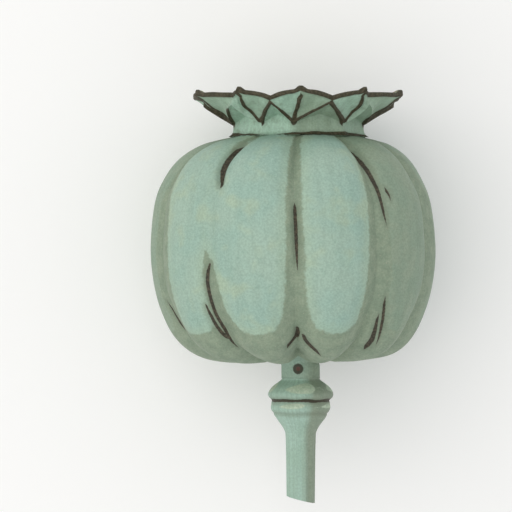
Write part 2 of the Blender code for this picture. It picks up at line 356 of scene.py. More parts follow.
# A sinus is shallower by this much for each degree that it is drawn.
SINUS_FILL = 0.055 * MM

# The dark strokes round the neck's foot, with a gap between each two.
FOOT_INK = 0.6
FOOT_WAVER = 0.3
FOOT_STROKES = 3
FOOT_GAP = math.radians(-26)
FOOT_GAP_SHARE = 0.12

# The stalk: a knuckle with two rings, then a fluted stem with a slanted cut. The gap that parts its
# solid from the pod's is closed here: it sinks into the stipe, and is wider than that by the margin.
STEM_END = -40.7 * MM
STEM_RADIUS = 2.3 * MM
JOINT_GAP = 0.3 * MM
STEM_MARGIN = 0.02 * MM
STALK_OUTLINE = (
    (3.2 * MM, STIPE_END - JOINT_GAP),
    (4.6 * MM, -22.0 * MM),
    (5.3 * MM, -23.2 * MM),
    (4.75 * MM, -24.4 * MM),
    (4.8 * MM, -25.5 * MM),
    (4.0 * MM, -27.0 * MM),
    (2.7 * MM, -28.9 * MM),
    (2.42 * MM, -31.0 * MM),
    (STEM_RADIUS, STEM_END),
)
STEM_FLUTES = 10
FLUTE_DEPTH = 0.12 * MM
FLUTE_START = -27 * MM
FLUTE_RUN_IN = 3 * MM
CUT_SLANT = math.radians(14)
CUT_REACH = 6.0 * MM
STEM_COLUMNS = 160
STEM_ROWS = 230
CUT_ROWS = 12
STEM_SINK = 0.12 * MM
STEM_STRIAE = (3.2 * MM, 14 * MM)
STRIA_DEPTH = 0.06 * MM
LUMP_SIZE = 1.4 * MM
LUMP_DEPTH = 0.09 * MM
PITH_SHARE = 0.72
PITH_SINK = 0.18 * MM
PITH_EDGE = 0.15
PITH_BLEND = 0.04
CUT_ROUGHNESS = 0.07 * MM
CUT_GRAIN = 0.5 * MM

# The creases round the knuckle: station, half-width, depth, and how wide they are dark, as a
# half-width in millimetres. They wander a little, and the dark width wavers. The lower one has no dark
# line, but painted shade is laid round both.
RING_CREASES = (
    (-24.1 * MM, 0.48 * MM, 0.2 * MM, 0.26),
    (-26.2 * MM, 0.384 * MM, 0.12 * MM, -0.05),
)
RING_WANDER = 0.16 * MM
RING_WANDER_SIZE = 3 * MM
RING_INK_WAVER = 0.6
RING_INK_SIZE = 2 * MM

# The stalk's side that carries painted shade, and the painted highlights on its knuckle: station, angle,
# half the length round the knuckle and half the height. A highlight is taller at one end, and slants.
SHADED_SIDE = math.radians(104)
SHADED_SIDE_HALF = math.radians(86)
HIGHLIGHT_REPEATS = 4
HIGHLIGHT_SWELL = 0.4
HIGHLIGHT_SLANT = 0.12 * MM
PAINTED_HIGHLIGHTS = (
    (-24.95 * MM, math.radians(-20), math.radians(27), 0.40 * MM),
    (-22.15 * MM, math.radians(-1), math.radians(30), 0.75 * MM),
)

# The grain of all three skins. The real one, of about 0.05 mm, is too fine to show in the render, so
# it is drawn as coarse as it needs to show.
SKIN_GRAIN = 0.32 * MM

# How much finer detail a patch of colour has in it, and how strongly wax, skin and paper refract.
CLOUD_ROUGHNESS = 0.55
REFRACTION = 1.45

# Where the long axis lies beside the middle, at the crown and at the stem, and along Y.
CROWN_X = 0.75 * MM
STEM_X = 1.15 * MM
POD_Y = -(CROWN_TOP + STEM_END) / 2

CURVE_STEPS = 12
WELD = 0.001 * MM

# The camera looks straight down on the head, as the photo looks straight at it.
CAMERA_LENS = 200
CAMERA_SENSOR = 36
CAMERA_DISTANCE = 457.9 * MM
CAMERA_TARGET = (-6.04 * MM, POD_Y - 0.97 * MM, 22.1 * MM)

# The light: soft, from the upper left, with a bright pale room all round.
KEY_DIRECTION = (-0.42, 0.1, 0.9)
KEY_DISTANCE = 600 * MM
KEY_SIZE = 800 * MM
KEY_POWER = 1.4
ROOM_STRENGTH = 0.8
FLOOR_SIZE = 3000 * MM
FLOOR_SHEEN = 0.2

FLOOR_WHITE = "FAFAF8"
ROOM_WHITE = "FBFCFF"
KEY_WHITE = "FFFAF2"


def linear(code):
    """Turn an sRGB hex colour into the linear one that Blender takes."""
    parts = [int(code[place:place + 2], 16) / 255 for place in (0, 2, 4)]
    return tuple(p / 12.92 if p <= 0.04045 else ((p + 0.055) / 1.055) ** 2.4 for p in parts) + (1.0,)


def ease(value):
    """Rise smoothly from 0 to 1 as the value goes from 0 to 1."""
    value = min(max(value, 0.0), 1.0)
    return value * value * (3 - 2 * value)


def between(start, end, share):
    """Give the point that lies a share of the way from one point to another."""
    return tuple(a + (b - a) * share for a, b in zip(start, end))


def towards(start, end, share, bend):
    """Go from one value to another, with the share bent by a power."""
    return start + (end - start) * share**bend


def curve_through(points):
    """Give a smooth curve through the points."""
    ends = [points[0]] + list(points) + [points[-1]]
    curve = [points[0]]
    for before, start, end, after in zip(ends, ends[1:], ends[2:], ends[3:]):
        for step in range(1, CURVE_STEPS + 1):
            t = step / CURVE_STEPS
            weights = (
                -0.5 * t + t**2 - 0.5 * t**3,
                1 - 2.5 * t**2 + 1.5 * t**3,
                0.5 * t + 2 * t**2 - 1.5 * t**3,
                -0.5 * t**2 + 0.5 * t**3,
            )
            four = (before, start, end, after)
            curve.append(tuple(sum(w * p[k] for w, p in zip(weights, four)) for k in (0, 1)))
    return curve


def spread_by(points, shares):
    """Give the points that lie these shares of the way along a path. The shares must rise."""
    lengths = [0.0]
    for start, end in zip(points, points[1:]):
        lengths.append(lengths[-1] + math.dist(start, end))
    spread = []
    place = 0
    for share in shares:
        target = lengths[-1] * share
        while place < len(points) - 2 and lengths[place + 1] < target:
            place += 1
        step = lengths[place + 1] - lengths[place]
        spread.append(between(points[place], points[place + 1], (target - lengths[place]) / step))
    return spread


def spread_evenly(points, count):
    """Give this many points at even distances along a path."""
    return spread_by(points, [index / (count - 1) for index in range(count)])


def rib(distance, half):
    """Give the height of a rounded rib, 1 in its middle and 0 past its half-width."""
    return ease(1 - abs(distance) / half)


def around(radius, angle, station):
    """Give the point at this radius and angle round the axis."""
    return Vector((radius * math.sin(angle), station, radius * math.cos(angle)))


def lumps(here, size):
    """Give a value from 0 to 1 that changes from place to place over about this size."""
    return 0.5 + 0.5 * noise.noise(here / size)


def veins(angle, station, size):
    """Give a value from 0 to 1 that runs in long streaks from pole to pole, with no seam."""
    width, length = size
    round_axis = POD_RADIUS / width
    place = Vector((math.sin(angle) * round_axis, math.cos(angle) * round_axis, station / length))
    return 0.5 + 0.5 * noise.noise(place)


def add_object(name, shape):
    """Put a shape into the scene as an object."""
    mesh = bpy.data.meshes.new(name)
    shape.to_mesh(mesh)
    shape.free()
    made = bpy.data.objects.new(name, mesh)
    bpy.context.scene.collection.objects.link(made)
    return made


def spun_piece(name, rows, columns, place):
    """Spin a row of points round the long axis and move each to where its row and angle say.

    place gives, for a row and an angle, the radius, the station, the angle that the point is moved
    to, how far its middle lies to the side, and the marks that the finish reads, by name.
    """
    shape = bmesh.new()
    row_layer = shape.verts.layers.int.new("row")
    marks = {}
    for mark, value in place(0, 0.0)[-1].items():
        kinds = shape.verts.layers.float_vector if isinstance(value, tuple) else shape.verts.layers.float
        marks[mark] = kinds.new(mark)
    streak_layer = shape.verts.layers.float_vector.new("streak")
    first = []
    for row in range(rows):
        on_axis = row in (0, rows - 1)
        vert = shape.verts.new((0.0, row * MM, 0.0 if on_axis else POD_RADIUS))
        vert[row_layer] = row
        first.append(vert)
    edges = [shape.edges.new(pair) for pair in zip(first, first[1:])]
    bmesh.ops.spin(
        shape,
        geom=first + edges,
        cent=(0, 0, 0),
        axis=(0, 1, 0),
        angle=2 * math.pi,
        steps=columns,
        use_merge=True,
    )
    bmesh.ops.remove_doubles(shape, verts=shape.verts, dist=WELD)

    step = 2 * math.pi / columns
    for vert in shape.verts:
        column = round(math.atan2(vert.co.x, vert.co.z) / step) % columns
        radius, station, angle, shift, values = place(vert[row_layer], column * step)
        vert.co.x = radius * math.sin(angle) + shift
        vert.co.y = POD_Y + station
        vert.co.z = radius * math.cos(angle)
        for mark, layer in marks.items():
            vert[layer] = values[mark]
        vert[streak_layer] = (math.sin(angle), math.cos(angle), station / POD_RADIUS)
    bmesh.ops.recalc_face_normals(shape, faces=shape.faces)
    piece = add_object(name, shape)
    piece.data.shade_smooth()
    return piece


def crowd(angle, strength):
    """Move a column's angle towards the nearest groove or keel."""
    return angle - strength * math.sin(LOBES * angle) / LOBES


def pod_shift(station):
    """Give how far the pod's middle lies to the side. Its belly leans away from the long axis."""
    share = (station - STIPE_END) / (POD_TOP - STIPE_END)
    belly = max(1 - abs(station / POD_HALF_HEIGHT) ** BELLY_SQUARENESS, 0.0)
    return STEM_X + (CROWN_X - STEM_X) * share + POD_BELLY_SHIFT * belly


def pod_rows():
    """Give each row of the pod on a crest: radius, station and the direction out of the skin."""
    curve = curve_through(POD_OUTLINE)
    dimple = (DIMPLE_RADIUS, curve[0][1] + DIMPLE_DEPTH)
    stipe_top = (STIPE_RADIUS, curve[0][1] + DIMPLE_DEPTH / 2)
    stipe = spread_evenly([(STIPE_RADIUS, STIPE_END), stipe_top, dimple, curve[0]], STIPE_ROWS)
    side = spread_evenly(curve, POD_SIDE_ROWS)
    top = spread_evenly([side[-1], (NECK_RADIUS, POD_TOP)], POD_TOP_ROWS)
    outline = stipe + side[1:] + top[1:]
    rows = [(0.0, STIPE_END, 0.0, -1.0)]
    for index, (radius, station) in enumerate(outline):
        before = outline[max(index - 1, 0)]
        after = outline[min(index + 1, len(outline) - 1)]
        run = math.dist(before, after)
        rows.append((radius, station, (after[1] - before[1]) / run, (before[0] - after[0]) / run))
    rows.append((NECK_RADIUS / 2, POD_TOP, 0.0, 1.0))
    rows.append((0.0, POD_TOP, 0.0, 1.0))
    return rows


def groove_depth(radius, station):
    """Give how deep a groove is cut at this place on the pod."""
    share = ease((abs(station) - GROOVE_BELT) / GROOVE_CHANGE)
    if station < 0:
        depth = GROOVE_WAIST + (GROOVE_BASE - GROOVE_WAIST) * share
        return depth * ease((radius - STIPE_RADIUS) / GROOVE_RUN_OUT)
    depth = GROOVE_WAIST + (GROOVE_SHOULDER - GROOVE_WAIST) * share
    return GROOVE_NECK + (depth - GROOVE_NECK) * ease((radius - NECK_RADIUS) / GROOVE_RUN_OUT)


def groove_share(angle, station):
    """Give 1 at the bottom of a groove and 0 on a lobe's crest. Grooves widen towards the base."""
    widening = ease(-station / (POD_HALF_HEIGHT - GROOVE_BELT))
    sharpness = GROOVE_SHARPNESS + (GROOVE_SHARPNESS_BASE - GROOVE_SHARPNESS) * widening
    share = (1 - abs(math.sin(LOBES * angle / 2))) ** sharpness
    return share * (1 + GROOVE_UNEVENNESS * math.sin(UNEVEN_WAVES * angle + UNEVEN_START))


def beside(course, across, along, radius):
    """Give how far a place lies beside a course, and half the course's width there.

    The place is an angle from the groove and a length along the skin, and so is the course. Past
    the course's ends, its half-width falls below nothing. Everything but angles is in millimetres.
    """
    best = (0.0, -BAND_LIMIT)
    reach = -math.inf
    for (angle, start, half), (next_angle, end, next_half) in zip(course, course[1:]):
        run = ((next_angle - angle) * radius, end - start)
        gap = ((across - angle) * radius, along - start)
        length = math.hypot(*run)
        share = (gap[0] * run[0] + gap[1] * run[1]) / length**2
        aside = (gap[0] * run[1] - gap[1] * run[0]) / length
        nearest = min(max(share, 0.0), 1.0)
        width = half + (next_half - half) * nearest - abs(share - nearest) * length
        if width - abs(aside) > reach:
            best = (aside, width)
            reach = width - abs(aside)
    return best


def groove_courses(latitudes, lengths):
    """Give each groove's band and its creases. Those that the photo doesn't show are varied ones."""
    draw = random.Random(SEED)

    def length_at(latitude):
        """Give how far along the skin a latitude lies."""
        row = next(index for index, north in enumerate(latitudes) if north >= latitude)
        share = (latitude - latitudes[row - 1]) / (latitudes[row] - latitudes[row - 1])
        return lengths[row - 1] + (lengths[row] - lengths[row - 1]) * share

    grooves = []
    for groove, kind in enumerate(GROOVE_ORDER):
        band, creases = GROOVE_SETS[kind]
        courses = []
        side = 1
        slip = 0.0
        girth = 1.0
        if groove not in SEEN_GROOVES:
            side = draw.choice((-1, 1))
            slip = draw.uniform(-CREASE_SLIP, CREASE_SLIP)
            girth = draw.uniform(*CREASE_GIRTHS)
        for course in (band,) + creases:
            courses.append([
                (side * math.radians(angle), length_at(latitude + slip), half * girth)
                for angle, latitude, half in course
            ])
        grooves.append(courses)
    return grooves


def inside_shaded_side(angle):
    """Give how far inside the stalk's side of painted shade an angle lies, in radians."""
    return SHADED_SIDE_HALF - abs(math.remainder(angle - SHADED_SIDE, 2 * math.pi))


def smooth_union(first, second, blend):
    """Join two distances inside an edge, with the corner between them rounded."""
    mix = min(max(0.5 + 0.5 * (first - second) / blend, 0.0), 1.0)
    return second + (first - second) * mix + blend * mix * (1 - mix)


def crease_depth(asides, halves):
    """Give how deep the creases beside a place cut it, and how far their lips raise it."""
    depths = [0.0]
    for aside, half in zip(asides, halves):
        if half > 0:
            cut = rib(aside, CUT_REACH_GROWTH * half + CUT_SOFTNESS)
            from_lip = abs(aside) - LIP_PLACE_GROWTH * half - CUT_SOFTNESS
            lip = rib(from_lip, LIP_REACH_GROWTH * half + LIP_SOFTNESS)
            depths.append((CREASE_DEPTH * cut - CREASE_LIP * lip) * half / FULL_CREASE_HALF)
    return max(depths) + min(depths)


def scar_depth(radius, angle, station):
    """Give how deep the scar's pit is at a place on the stipe, and how far its rim is raised."""
    round_axis = radius * math.remainder(angle - SCAR_ANGLE, 2 * math.pi)
    from_scar = math.hypot(round_axis, station - SCAR_STATION)
    lip = rib(from_scar - SCAR_RIM, SCAR_HEART)
    return SCAR_DEPTH * (ease(1 - from_scar / SCAR_HEART) - SCAR_LIP * lip)


def pod_placer():
    """Give the rule that places each point of the pod."""
    rows = pod_rows()
    latitudes = [math.degrees(math.atan2(station, radius)) for radius, station, out, up in rows]
    lengths = [0.0]
    for start, end in zip(rows, rows[1:]):
        lengths.append(lengths[-1] + math.dist(start[:2], end[:2]) / MM)
    grooves = groove_courses(latitudes, lengths)

    def place(row, spun_angle):
        radius, station, out, up = rows[row]
        angle = crowd(spun_angle, POD_CROWDING)
        offset = (angle / LOBE_ANGLE - round(angle / LOBE_ANGLE)) * LOBE_ANGLE
        share = groove_share(angle, station)
        depth = groove_depth(radius, station) * share

        courses = grooves[round(angle / LOBE_ANGLE) % LOBES]
        aside, half = beside(courses[0], offset, lengths[row], radius / MM)
        to_groove = half - abs(aside)
        near = [beside(course, offset, lengths[row], radius / MM) for course in courses[1:]]
        outside = max(abs(offset) - CREASE_ZONE, 0.0) * radius / MM
        asides = tuple(aside for aside, half in near)
        halves = tuple(half - CREASE_FADE * outside for aside, half in near)
        depth += crease_depth(asides, halves)

        skin = ease((radius - STIPE_RADIUS) / GROOVE_RUN_OUT)
        depth += DENT_DEPTH * skin * lumps(around(radius, angle, station), DENT_SIZE)
        vein_depth = VEIN_DEPTH * (VEIN_ON_CREST + (1 - VEIN_ON_CREST) * share)
        depth += vein_depth * veins(angle, station, POD_VEINS) * ease(radius / VEIN_RUN_OUT)
        if station > 0:
            pleat = ease(1 - (radius - NECK_RADIUS) / PLEAT_REACH)
            depth += PLEAT_DEPTH * pleat * (0.5 + 0.5 * math.cos(PLEATS * angle))
        if station < 0 and radius < DIMPLE_RADIUS:
            depth += scar_depth(radius, angle, station)

        if row == 0 or station == POD_TOP:
            # Of the flat ends, only the edge at the neck follows the grooves.
            radius -= depth * (radius == NECK_RADIUS)
        else:
            slant = POD_BASE_SLANT * math.sin(angle) * radius / POD_RADIUS
            slant *= ease(-station / POD_HALF_HEIGHT) * skin
            radius, station = radius - depth * out, station - depth * up + slant

        to_base = math.radians(BASE_ZONE_LATITUDE - latitudes[row]) * POD_RADIUS / MM
        band = smooth_union(to_groove, to_base, BAND_BLEND)
        band = min(max(band, -BAND_LIMIT), BAND_LIMIT) * skin + BAND_ON_STIPE * (1 - skin)
        # The grey-olive on the lobes at the right and far left, and on the stipe's right side, is
        # painted shade.
        lobe_bareness_and_shade = LOBE_BARENESS_AND_SHADE[math.floor(angle / LOBE_ANGLE) % LOBES]
        stipe_bareness_and_shade = STIPE_BARENESS_AND_SHADE + (1 - STIPE_BARENESS_AND_SHADE) * ease(0.5 + inside_shaded_side(angle))
        marks = {
            "band": band,
            "crease_aside": asides,
            "crease_half": halves,
            "bare_and_shaded": stipe_bareness_and_shade + (lobe_bareness_and_shade - stipe_bareness_and_shade) * skin,
        }
        return radius, station, angle, pod_shift(station), marks

    return place, len(rows)


def neck_foot(panel_radius):
    """Give the foot of the neck, sunk a little into the pod, with a small flare."""
    foot = (panel_radius + NECK_FLARE, POD_TOP - NECK_SINK)
    collar = (panel_radius + COLLAR_FLARE * NECK_FLARE, POD_TOP + COLLAR_RISE * NECK_FLARE_HEIGHT)
    return foot, collar, (panel_radius, POD_TOP + NECK_FLARE_HEIGHT)


def facet_step(row):
    """Give how far up its facet a row lies. The rows crowd at both ends."""
    return ease((row + 1) / FACET_ROWS)


def facet_points(edge, rim, bow, keel):
    """Give a section's points up its facet, bowed by a share of the keel's own bow."""
    points = []
    for row, crest in enumerate(keel):
        step = facet_step(row)
        flat = between(edge, rim, step)
        chord = between(KEEL_FOOT, (RAY_TIP[0] - HALF_RIM * step, RAY_TIP[1]), step)
        points.append(tuple(flat[k] + bow * (crest[k] - chord[k]) for k in (0, 1)))
    return points


def margin_points(rim):
    """Give a section's points round the outside of its margin."""
    points = []
    for row in range(1, MARGIN_ROWS + 1):
        turn = math.pi * (row / MARGIN_ROWS - 0.5)
        points.append((rim[0] + HALF_RIM * math.cos(turn), rim[1] + HALF_RIM * (1 + math.sin(turn))))
    return points


def cup_points(rim, share):
    """Give a section's points from its margin down into the cup and up the boss in its middle."""
    rim_radius = rim[0] + HALF_RIM
    rim_top = rim[1] + RIM_THICKNESS
    points = []
    for row in range(1, CUP_ROWS + 1):
        step = (1 - HALF_RIM / rim_radius) * (1 - row / (CUP_ROWS + 1))
        rise = max((step - CUP_FLOOR_SHARE) / (1 - CUP_FLOOR_SHARE), 0.0) ** CUP_BEND
        boss = ease(1 - step / CUP_FLOOR_SHARE)
        ridge = RIDGE_HEIGHT * (1 - share) ** 2 * math.sin(math.pi * step) * (1 - boss)
        height = CUP_FLOOR + (rim_top - CUP_FLOOR) * rise + BOSS_HEIGHT * boss + ridge
        points.append((rim_radius * step, height))
    return points + [(0.0, CUP_FLOOR + BOSS_HEIGHT)]


def crown_section(share, fill, keel):
    """Give the points of a section of the crown from the middle of its foot to that of its cup.

    The share is 0 on a keel and 1 in a sinus, which is shallower by the fill.
    """
    panel_radius = NECK_RADIUS - PANEL_RECESS * ease(share / PANEL_SIDE)
    foot, collar, waist = neck_foot(panel_radius)
    wall_top = (panel_radius, towards(PANEL_FOOT, PANEL_TOP, share, PANEL_BEND))
    edge = tuple(towards(KEEL_FOOT[k], SINUS_EDGE[k], share, EDGE_BEND[k]) for k in (0, 1))
    shoulder = RAY_TIP[1] - KNOB_HEIGHT * (1 - max(1 - share / KNOB_SHARE, 0.0) ** KNOB_BEND)
    rim_height = shoulder + (SINUS_RIM[1] + fill + KNOB_HEIGHT - RAY_TIP[1]) * share**RIM_FALL
    rim = (towards(RAY_TIP[0], SINUS_RIM[0], share, RIM_BEND) - HALF_RIM, rim_height)
    points = [(0.0, foot[1]), (NECK_RADIUS / 2, foot[1])]
    points += spread_evenly(curve_through([foot, collar, waist, wall_top]), NECK_ROWS)
    soffit = curve_through([wall_top, between(wall_top, edge, 0.5), edge])
    points += spread_evenly(soffit, SOFFIT_ROWS + 1)[1:]
    points += facet_points(edge, rim, (1 - share) ** 2, keel)
    return points + margin_points(rim) + cup_points(rim, share)


def rays_beside(turn):
    """Give the rays at the left and right of a place, which is counted in rays from the front."""
    return RAYS[math.floor(turn) % LOBES], RAYS[math.ceil(turn) % LOBES]


def ray_lean(turn, station):
    """Give how far the rays lean to the right at a place, in degrees."""
    climb = min(max((station - KEEL_FOOT[1]) / (LEAN_TOP - KEEL_FOOT[1]), 0.0), 1.0)
    left, right = (ray.foot_lean * (1 - climb) + ray.tip_lean * climb for ray in rays_beside(turn))
    lean = left + (right - left) * ease(turn - math.floor(turn))
    nearest = round(turn)
    on_keel = (1 - 2 * abs(turn - nearest)) ** 2
    return lean + 4 * RAYS[nearest % LOBES].bow * climb * (1 - climb) * on_keel


def window_wear(turn):
    """Give how worn the window at a place under the rays is, with its painted shade."""
    nearest = round(turn)
    left, right = (RAYS[(nearest + side) % LOBES].window_wear for side in (-1, 0))
    return left + (right - left) * ease(0.5 + WINDOW_CHANGE * (turn - nearest))


def knob_push(radius, station, aside):
    """Give how far the knob on a ray's tip pushes a place near it outwards, upwards and aside."""
    away = Vector((radius - KNOB_MIDDLE[0], station - KNOB_MIDDLE[1], aside))
    if not 0 < away.length < KNOB_REACH:
        return 0.0, 0.0, 0.0
    push = KNOB_GROWTH * (1 - (away.length / KNOB_REACH) ** 2) / away.length
    return away.x * push, away.y * push, away.z * push


def neck_relief(spot):
    """Give how far the neck or the window over it is raised, and how far inside a dark line it is."""
    lift = -PANEL_VEIN_DEPTH * veins(spot.angle, spot.station, PANEL_VEINS)
    lift *= ease(spot.share * PANEL_VEIN_RISE)
    to_edge = EDGE_SLANT * math.dist(spot.points[spot.row], spot.points[FACET_START - 1]) / MM
    ink = min(spot.edge_half, spot.half) - to_edge
    lift += RIB_HEIGHT * rib(to_edge, spot.half) * ease(spot.share * PANEL_EDGE_RISE)
    if spot.row < SOFFIT_START:
        stroke = abs(math.sin((spot.angle - FOOT_GAP) * FOOT_STROKES / 2)) - FOOT_GAP_SHARE
        stroke_half = FOOT_INK * stroke * (1 + FOOT_WAVER * spot.waver)
        ink = max(ink, stroke_half - abs((spot.station - POD_TOP) / MM))
    return lift, ink


def facet_relief(spot):
    """Give how far a facet, hollow between its ribs, is raised, and how far inside a dark line it is."""
    along = facet_step(spot.row - FACET_START)
    length = math.dist(spot.points[FACET_START - 1], spot.points[MARGIN_START - 1]) / MM
    from_edge = EDGE_SLANT * along * length
    from_rim = (1 - along) * length
    taper = KEEL_TIP_WIDTH + (1 - KEEL_TIP_WIDTH) * ease((KEEL_TAPER_END - along) * KEEL_TAPER)
    keel_half = spot.half * taper - INK_RUN_OUT * max(along - spot.ray.keel_end, 0.0)
    rim_half = RIM_INK * spot.half + max(spot.edge_half - spot.half, 0.0)
    ink = max(keel_half - abs(spot.from_keel), spot.edge_half - from_edge, rim_half - from_rim)
    spread = RIB_SPREAD * spot.half
    lift = RIB_HEIGHT * max(rib(distance, spread) for distance in (spot.from_keel, from_edge, from_rim))
    across = math.sin(math.pi * min(spot.share * HOLLOW_CROWDING, 1.0)) ** HOLLOW_BEND
    room = ease(length / FACET_ROOM)
    lift -= FACET_HOLLOW * math.sin(math.pi * along) * across * room
    return lift - FACET_VEIN_DEPTH * veins(spot.angle, spot.station, FACET_VEINS) * room, ink


def cup_relief(spot):
    """Give how far the cup is raised, and how far inside its dark rim and its velvet a place is."""
    from_rim = spot.points[MARGIN_START - 1][0] - spot.radius
    velvet_half = VELVET_HALF / MM * ease(from_rim / VELVET_END + VELVET_AT_RIM)
    velvet_half *= ease(spot.radius / VELVET_MIDDLE) * (1 - VELVET_LEAST) + VELVET_LEAST
    velvet = velvet_half - abs(spot.from_keel)
    lift = VELVET_HEIGHT * ease(velvet / VELVET_SLOPE + 0.5) * lumps(spot.here, NAP_SIZE)
    return lift - CUP_DENT_DEPTH * lumps(spot.here, CUP_DENT_SIZE), CUP_RIM_INK - from_rim / MM, velvet


def crown_relief(spot):
    """Give how far a place on the crown is raised, and its marks."""
    lift = 0.0
    # On the rays near the front, the wear of the facets at the right stands for painted shade.
    worn_and_shaded = spot.ray.left_wear if spot.turn < round(spot.turn) else spot.ray.right_wear
    marks = {"ink": -BAND_LIMIT, "velvet": -BAND_LIMIT, "cup": 0.0, "dull": worn_and_shaded}
    if NECK_START <= spot.row < FACET_START:
        lift, marks["ink"] = neck_relief(spot)
        marks["dull"] = window_wear(spot.turn)
    elif FACET_START <= spot.row < MARGIN_START:
        lift, marks["ink"] = facet_relief(spot)
    elif MARGIN_START <= spot.row < CUP_START:
        lift = MARGIN_LIFT
        marks["ink"] = spot.half
    elif CUP_START <= spot.row < CROWN_ROWS - 1:
        lift, marks["ink"], marks["velvet"] = cup_relief(spot)
        marks["cup"] = 1.0
    if MARGIN_START - CRINKLE_ROWS <= spot.row < CUP_START + CRINKLE_ROWS:
        lift -= MARGIN_CRINKLE * lumps(spot.here, CRINKLE_SIZE) * ease(spot.share * CRINKLE_RISE)
    return lift, marks


def crown_placer():
    """Give the rule that places each point of the crown."""
    keel = spread_by(curve_through(KEEL_OUTLINE), [facet_step(row) for row in range(FACET_ROWS)])
    sections = {}

    def place(row, spun_angle):
        angle = crowd(spun_angle, CROWN_CROWDING)
        turn = angle / LOBE_ANGLE
        nearest = round(turn)
        ray = RAYS[nearest % LOBES]
        offset = (turn - nearest) * LOBE_ANGLE
        share = 2 * abs(turn - nearest)
        sinus_draw = rays_beside(turn)[0].sinus_draw
        if spun_angle not in sections:
            sections[spun_angle] = crown_section(share, SINUS_FILL * abs(sinus_draw), keel)
        points = sections[spun_angle]
        radius, station = points[row]
        before = points[max(row - 1, 0)]
        after = points[min(row + 1, len(points) - 1)]
        run = math.dist(before, after)
        rise = min(max((station - KEEL_FOOT[1]) / (SINUS_RIM[1] - KEEL_FOOT[1]), 0.0), 1.0)
        drawn = math.radians(sinus_draw) * share * rise
        from_keel = (offset + drawn) * radius / MM
        here = around(radius, angle, station)
        waver = noise.noise(here / WAVER_SIZE)
        half = RIB_HALF / MM * (1 + RIB_WAVER * waver)
        edge = ray.left_edge if offset < 0 else ray.right_edge
        edge_half = half * max(edge, 1.0) - INK_RUN_OUT * max(share - edge, 0.0)
        spot = Spot(
            row, points, radius, station, angle, here, turn, share, from_keel,
            waver, half, edge_half, ray,
        )
        lift, marks = crown_relief(spot)

        radius = max(radius + lift * (after[1] - before[1]) / run, 0.0)
        station += lift * (before[0] - after[0]) / run
        out_push, up_push, side_push = knob_push(radius, station, radius * offset)
        radius += out_push
        station = min(station + up_push, CROWN_TOP)
        angle += side_push / max(radius, MM)
        turned = angle + drawn + math.radians(ray_lean(turn, station))
        turned += RAY_WOBBLE * rise * noise.noise(here / WOBBLE_SIZE)
        turned += CROWN_TURN - RAY_PAIRING * math.cos(LOBES * angle / 2)
        return radius, station, turned, CROWN_X, marks

    return place, CROWN_ROWS


def inside_painted_highlight(angle, station):
    """Give how far inside a painted highlight a place on the knuckle lies, in millimetres."""
    inside = -BAND_LIMIT
    for middle, turned, long_half, high_half in PAINTED_HIGHLIGHTS:
        side = math.remainder(angle - turned, 2 * math.pi / HIGHLIGHT_REPEATS) / long_half
        high = high_half * math.sqrt(max(1 - side * side, 0.0)) * (1 + HIGHLIGHT_SWELL * side)
        inside = max(inside, (high - abs(station - middle - HIGHLIGHT_SLANT * side)) / MM)
    return inside


def stem_placer():
    """Give the rule that places each point of the stalk."""
    top = (STIPE_RADIUS + STEM_MARGIN, STIPE_END + STEM_SINK)
    outline = spread_evenly(curve_through((top,) + STALK_OUTLINE), STEM_ROWS)
    rows = STEM_ROWS + CUT_ROWS + 2

    def place(row, angle):
        cut = -1.0
        if row == 0:
            return 0.0, top[1], angle, STEM_X, dict.fromkeys(("ink", "bare_and_shaded", "painted_highlight", "cut"), cut)
        radius, station = outline[min(row, STEM_ROWS) - 1]
        flute = FLUTE_DEPTH * (1 + math.cos(STEM_FLUTES * angle)) / 2
        run_in = ease((FLUTE_START - station) / FLUTE_RUN_IN)
        radius -= flute * run_in + STRIA_DEPTH * veins(angle, station, STEM_STRIAE) * run_in
        here = around(radius, angle, station)

        ink = -BAND_LIMIT
        wander = RING_WANDER * noise.noise(here / RING_WANDER_SIZE)
        waver = 1 + RING_INK_WAVER * noise.noise(here / RING_INK_SIZE)
        for ring, half, depth, dark_half in RING_CREASES:
            distance = station - ring - wander
            radius -= depth * rib(distance, half)
            ink = max(ink, dark_half * waver - abs(distance) / MM)
        if row > 1:
            radius -= LUMP_DEPTH * lumps(here, LUMP_SIZE) * (1 - run_in)
        bare_and_shaded = inside_shaded_side(angle) * radius / MM
        painted_highlight = inside_painted_highlight(angle, station)

        reach = ease((STEM_END + CUT_REACH - station) / CUT_REACH)
        if row > STEM_ROWS:
            cut = 1 - (row - STEM_ROWS) / (CUT_ROWS + 1)
            radius *= cut
        rise = (STEM_RADIUS - radius * math.sin(angle)) * math.tan(CUT_SLANT)
        station += rise * reach
        if cut >= 0:
            station += PITH_SINK * ease((PITH_SHARE - cut) / PITH_EDGE + 0.5)
            station += CUT_ROUGHNESS * (1 + noise.noise(here / CUT_GRAIN))
        marks = {"ink": ink, "bare_and_shaded": bare_and_shaded, "painted_highlight": painted_highlight, "cut": cut}
        return radius, station, angle, STEM_X, marks

    return place, rows


def lay_down(pod, pieces):
    """Lift the pieces until the pod's top is as high as its solid's, and press the lobes flat."""
    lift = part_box("capsule")[1].z - max(vert.co.z for vert in pod.data.vertices)
    for piece in pieces:
        for vert in piece.data.vertices:
            vert.co.z = max(vert.co.z + lift, 0.0)


def add(tree, kind, output, inputs, **settings):
    """Add a node with its settings, give each input its value or link it, and give one output.

    Inputs and the output go by their names, or by their numbers where several share a name.
    """
    node = tree.nodes.new("ShaderNode" + kind)
    for name, value in settings.items():
        setattr(node, name, value)
    for key, value in inputs.items():
        if isinstance(value, bpy.types.NodeSocket):
            tree.links.new(value, node.inputs[key])
        else:
            node.inputs[key].default_value = value
    return node.outputs[output]


